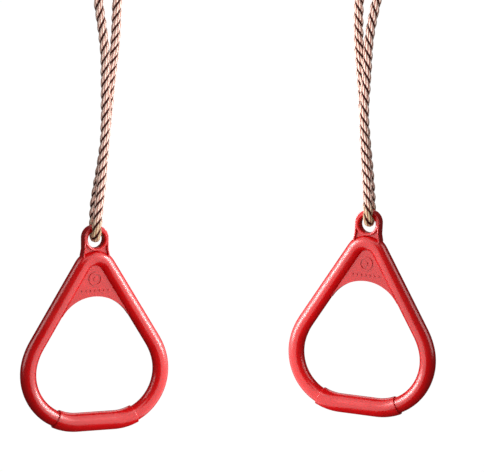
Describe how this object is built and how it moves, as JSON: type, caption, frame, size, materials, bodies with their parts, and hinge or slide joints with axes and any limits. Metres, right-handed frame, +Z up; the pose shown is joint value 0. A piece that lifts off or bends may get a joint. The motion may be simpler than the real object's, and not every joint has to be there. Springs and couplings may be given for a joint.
{
  "type": "gymnastics rings",
  "caption": "Pair of rounded-triangle plastic rings, each hung by a doubled twisted rope with an adjuster from a carabiner and a ceiling plate.",
  "frame": {"origin": "underside of the beam, midway between the two ceiling plates: the centre of the plates' outer pair of screw holes", "axes": "+Z up, +X to the right of a person facing the rings, +Y away from that person; the rings' plates stand along X"},
  "size_m": [0.4138, 0.0729, 0.6493],
  "materials": {
    "ring_plastic": "gloss",
    "grip_plastic": "gloss",
    "rope_fibre": "matte",
    "zinc_steel": "satin",
    "bright_steel": "polished",
    "ferrule_aluminium": "satin",
    "adjuster_plastic": "matte"
  },
  "bodies": {
    "root": {"ceiling_plate_left": "zinc_steel", "bow_left": "zinc_steel", "ceiling_plate_right": "zinc_steel", "bow_right": "zinc_steel"},
    "hook_left": {"carabiner_body_left": "bright_steel", "gate_spring_left": "bright_steel"},
    "gate_left": {"carabiner_gate_left": "bright_steel", "gate_pin_left": "bright_steel"},
    "rope_left": {"thimble_left": "bright_steel", "ferrule_left": "ferrule_aluminium", "rope_long_leg_left": "rope_fibre", "rope_short_leg_left": "rope_fibre", "rope_adjuster_left": "adjuster_plastic", "stopper_knot_left": "rope_fibre"},
    "bight_left": {"rope_bight_left": "rope_fibre"},
    "ring_left": {"ring_frame_left": "ring_plastic", "hand_grip_left": "grip_plastic"},
    "hook_right": {"carabiner_body_right": "bright_steel", "gate_spring_right": "bright_steel"},
    "gate_right": {"carabiner_gate_right": "bright_steel", "gate_pin_right": "bright_steel"},
    "rope_right": {"thimble_right": "bright_steel", "ferrule_right": "ferrule_aluminium", "rope_long_leg_right": "rope_fibre", "rope_short_leg_right": "rope_fibre", "rope_adjuster_right": "adjuster_plastic", "stopper_knot_right": "rope_fibre"},
    "bight_right": {"rope_bight_right": "rope_fibre"},
    "ring_right": {"ring_frame_right": "ring_plastic", "hand_grip_right": "grip_plastic"}
  },
  "joints": [
    {"name": "hook_swing_left", "type": "hinge", "parent": "root", "child": "hook_left", "pos_m": [-0.13, 0, -0.028], "axis": [1, 0, 0], "range_deg": [-70, 70]},
    {"name": "gate_open_left", "type": "hinge", "parent": "hook_left", "child": "gate_left", "pos_m": [-0.13, -0.012, -0.0547], "axis": [-1, 0, 0], "range_deg": [0, 25], "stiffness_Nm_per_rad": 0.03, "springref_deg": -20.05, "deforming": ["gate_spring_left"]},
    {"name": "rope_side_swing_left", "type": "hinge", "parent": "hook_left", "child": "rope_left", "pos_m": [-0.13, 0, -0.0732], "axis": [0, 1, 0], "range_deg": [-10, 45]},
    {"name": "ring_pitch_left", "type": "hinge", "parent": "rope_left", "child": "bight_left", "pos_m": [-0.1363, 0.0006, -0.421], "axis": [0.9239, 0.3827, 0], "range_deg": [-40, 40], "deforming": ["rope_bight_left"]},
    {"name": "ring_roll_left", "type": "hinge", "parent": "bight_left", "child": "ring_left", "pos_m": [-0.1384, 0.0002, -0.4535], "axis": [-0.3827, 0.9239, 0], "range_deg": [-45, 45]},
    {"name": "hook_swing_right", "type": "hinge", "parent": "root", "child": "hook_right", "pos_m": [0.13, 0, -0.028], "axis": [1, 0, 0], "range_deg": [-70, 70]},
    {"name": "gate_open_right", "type": "hinge", "parent": "hook_right", "child": "gate_right", "pos_m": [0.13, -0.012, -0.0547], "axis": [-1, 0, 0], "range_deg": [0, 25], "stiffness_Nm_per_rad": 0.03, "springref_deg": -20.05, "deforming": ["gate_spring_right"]},
    {"name": "rope_side_swing_right", "type": "hinge", "parent": "hook_right", "child": "rope_right", "pos_m": [0.13, 0, -0.0732], "axis": [0, 1, 0], "range_deg": [-45, 10]},
    {"name": "ring_pitch_right", "type": "hinge", "parent": "rope_right", "child": "bight_right", "pos_m": [0.1354, -0.0003, -0.4095], "axis": [0.9239, -0.3827, 0], "range_deg": [-40, 40], "deforming": ["rope_bight_right"]},
    {"name": "ring_roll_right", "type": "hinge", "parent": "bight_right", "child": "ring_right", "pos_m": [0.1361, -0.0002, -0.4379], "axis": [0.3827, 0.9239, 0], "range_deg": [-45, 45]}
  ]
}
